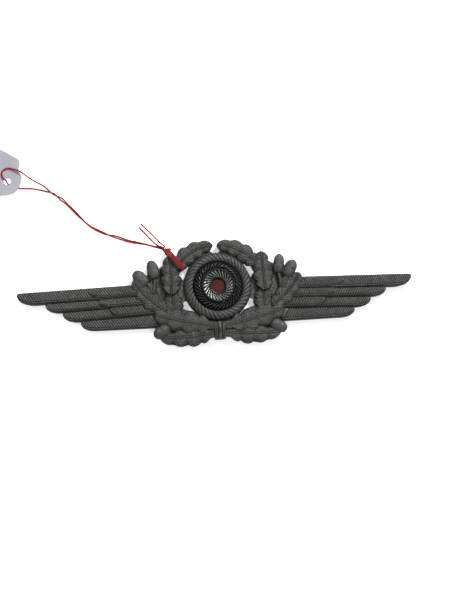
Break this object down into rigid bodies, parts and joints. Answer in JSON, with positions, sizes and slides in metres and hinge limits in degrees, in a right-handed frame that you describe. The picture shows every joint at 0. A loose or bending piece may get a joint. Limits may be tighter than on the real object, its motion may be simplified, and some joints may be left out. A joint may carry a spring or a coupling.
{
  "type": "pilot wings pin",
  "caption": "Cast metal winged oak-leaf cap badge with a ribbed cockade, bendable prongs on the back, and a small swing tag tied on with red thread.",
  "frame": {"origin": "on the surface that the badge lies on, under the middle of the badge's own length and height, without its tag and thread", "axes": "+X along the wings towards the wing on the right of the face, +Y towards the badge's top, +Z out of its face"},
  "size_m": [0.145, 0.0704, 0.0058],
  "materials": {
    "zinc": "dull grey cast zinc with a dark patina",
    "steel": "dull tinned strip",
    "prong": "dull tinned strip",
    "black_enamel": "glossy black enamel",
    "silver": "bright ribbed pressing, lightly tarnished",
    "felt": "matte brick red felt",
    "thread": "twisted red sewing thread",
    "tag_card": "pale lavender grey card"
  },
  "bodies": {
    "badge": {"winged_wreath": "zinc", "cockade_back_plate": "steel", "cockade_black_ring": "black_enamel", "cockade_silver_dish": "silver", "cockade_felt_disc": "felt", "cockade_prong_bridge": "steel", "right_prong_pad": "steel", "left_prong_pad": "steel", "tag": "tag_card", "tag_thread_lead": "thread", "tag_thread_loop": "thread", "tag_thread_knot": "thread", "tag_thread_wrap": "thread", "tag_thread_tail_1": "thread", "tag_thread_tail_2": "thread"},
    "cockade_prong_upper": {"cockade_prong_upper": "prong"},
    "cockade_prong_lower": {"cockade_prong_lower": "prong"},
    "right_prong_outer": {"right_prong_outer": "prong"},
    "right_prong_inner": {"right_prong_inner": "prong"},
    "left_prong_outer": {"left_prong_outer": "prong"},
    "left_prong_inner": {"left_prong_inner": "prong"}
  },
  "joints": [
    {"name": "cockade_prong_upper_fold", "type": "hinge", "parent": "badge", "child": "cockade_prong_upper", "pos_m": [0, 0.00324, 0.0003], "axis": [-1, 0, 0], "range_deg": [0, 90]},
    {"name": "cockade_prong_lower_fold", "type": "hinge", "parent": "badge", "child": "cockade_prong_lower", "pos_m": [0, 0.00024, 0.0003], "axis": [1, 0, 0], "range_deg": [0, 90]},
    {"name": "right_prong_outer_fold", "type": "hinge", "parent": "badge", "child": "right_prong_outer", "pos_m": [0.0385, -0.00241, 0.0003], "axis": [0, 1, 0], "range_deg": [0, 90]},
    {"name": "right_prong_inner_fold", "type": "hinge", "parent": "badge", "child": "right_prong_inner", "pos_m": [0.0375, -0.00241, 0.0003], "axis": [0, -1, 0], "range_deg": [0, 90]},
    {"name": "left_prong_outer_fold", "type": "hinge", "parent": "badge", "child": "left_prong_outer", "pos_m": [-0.0385, -0.00241, 0.0003], "axis": [0, -1, 0], "range_deg": [0, 90]},
    {"name": "left_prong_inner_fold", "type": "hinge", "parent": "badge", "child": "left_prong_inner", "pos_m": [-0.0375, -0.00241, 0.0003], "axis": [0, 1, 0], "range_deg": [0, 90]}
  ]
}
